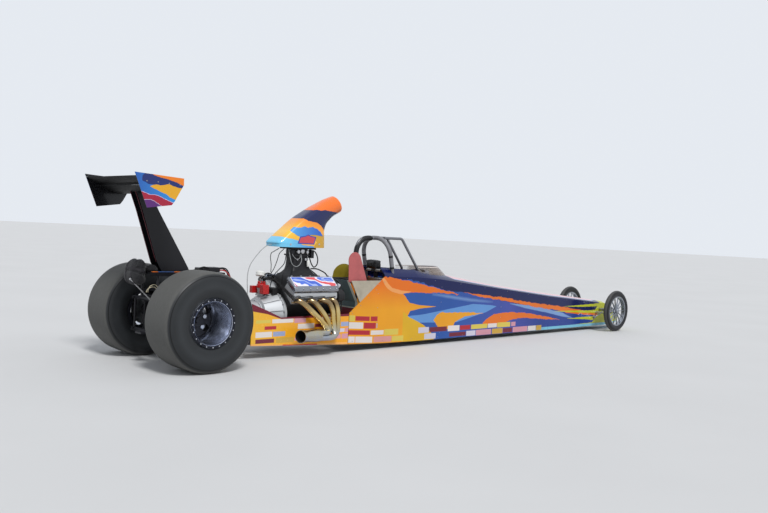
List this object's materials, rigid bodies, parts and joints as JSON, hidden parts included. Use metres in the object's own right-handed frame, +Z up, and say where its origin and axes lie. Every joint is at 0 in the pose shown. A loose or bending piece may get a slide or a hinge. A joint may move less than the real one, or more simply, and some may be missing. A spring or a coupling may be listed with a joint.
{
  "type": "drag racing car with rear engine",
  "caption": "Long narrow drag racing car: engine behind the driver, tall air scoop, rear wing, wide rear slicks, thin front wheels that steer.",
  "frame": {"origin": "on the ground below the middle of the car's length", "axes": "+X forward along the length, +Y to the driver's left, +Z up"},
  "size_m": [8.695, 1.654, 1.75],
  "materials": {
    "frame_tube": "satin black paint",
    "cage_tube": "grey powder coat",
    "painted_body": "gloss paint with flame stripes",
    "dark_panel": "satin black panel",
    "screen": "clear screen",
    "bare_aluminium": "brushed",
    "fin_panel": "salmon paint",
    "pad": "black cover",
    "black_casting": "painted black",
    "polished": "polished",
    "header_steel": "straw coloured by heat",
    "red_plastic": "red moulding",
    "steel": "machined",
    "tyre_rubber": "soft rubber",
    "pack_cloth": "black nylon",
    "cable_cover": "grey cable cover"
  },
  "bodies": {
    "chassis": {"frame_sides": "frame_tube", "frame_crossmembers": "frame_tube", "roll_hoop": "cage_tube", "cage_braces": "cage_tube", "body_sides": "painted_body", "cowl": "painted_body", "nose_cone": "painted_body", "belly_pan": "dark_panel", "windscreen": "screen", "firewall": "dark_panel", "shoulder_panels": "bare_aluminium", "fins": "fin_panel", "seat": "bare_aluminium", "headrest": "pad", "bay_panels": "painted_body", "engine_block": "black_casting", "cylinder_heads": "bare_aluminium", "valve_covers": "polished", "oil_pan": "bare_aluminium", "intake": "black_casting", "scoop": "painted_body", "headers": "header_steel", "distributor": "red_plastic", "gearbox": "bare_aluminium", "front_drive": "black_casting", "axle_housing": "black_casting", "front_axle": "steel", "rack_housing": "bare_aluminium", "wing": "dark_panel", "endplates": "painted_body", "wing_pylon": "dark_panel", "rear_deck": "dark_panel", "parachute_pack": "pack_cloth", "control_cable": "cable_cover"},
    "rear_axle": {"axle_shaft": "steel", "rear_rims": "polished", "rear_tyres": "tyre_rubber"},
    "knuckle_right": {"knuckle_right": "steel"},
    "knuckle_left": {"knuckle_left": "steel"},
    "front_wheel_right": {"front_rim_right": "polished", "front_tyre_right": "tyre_rubber"},
    "front_wheel_left": {"front_rim_left": "polished", "front_tyre_left": "tyre_rubber"},
    "steering_rack": {"steering_rack": "steel"},
    "steering_wheel": {"steering_wheel": "black_casting"}
  },
  "joints": [
    {"name": "rear_axle_spin", "type": "hinge", "parent": "chassis", "child": "rear_axle", "pos_m": [-3.7025, 0, 0.457], "axis": [0, 1, 0], "continuous": true},
    {"name": "steer", "type": "hinge", "parent": "chassis", "child": "steering_wheel", "pos_m": [-0.4125, 0, 0.705], "axis": [0.9272, 0, -0.3746], "range_deg": [-90, 90]},
    {"name": "steer_right", "type": "hinge", "parent": "chassis", "child": "knuckle_right", "pos_m": [3.6475, -0.333, 0.31], "axis": [0, 0, -1], "range_deg": [-15, 15]},
    {"name": "steer_left", "type": "hinge", "parent": "chassis", "child": "knuckle_left", "pos_m": [3.6475, 0.333, 0.31], "axis": [0, 0, -1], "range_deg": [-15, 15]},
    {"name": "rack_slide", "type": "slide", "parent": "chassis", "child": "steering_rack", "axis": [0, 1, 0], "range_m": [-0.0275, 0.0275]},
    {"name": "wheel_right_spin", "type": "hinge", "parent": "knuckle_right", "child": "front_wheel_right", "pos_m": [3.6475, -0.418, 0.31], "axis": [0, 1, 0], "continuous": true},
    {"name": "wheel_left_spin", "type": "hinge", "parent": "knuckle_left", "child": "front_wheel_left", "pos_m": [3.6475, 0.418, 0.31], "axis": [0, 1, 0], "continuous": true}
  ],
  "couplings": [
    {"joint": "steer_right", "follows": "steer", "ratio": 0.16667},
    {"joint": "steer_left", "follows": "steer", "ratio": 0.16667},
    {"joint": "rack_slide", "follows": "steer", "m_per_rad": 0.0175}
  ]
}
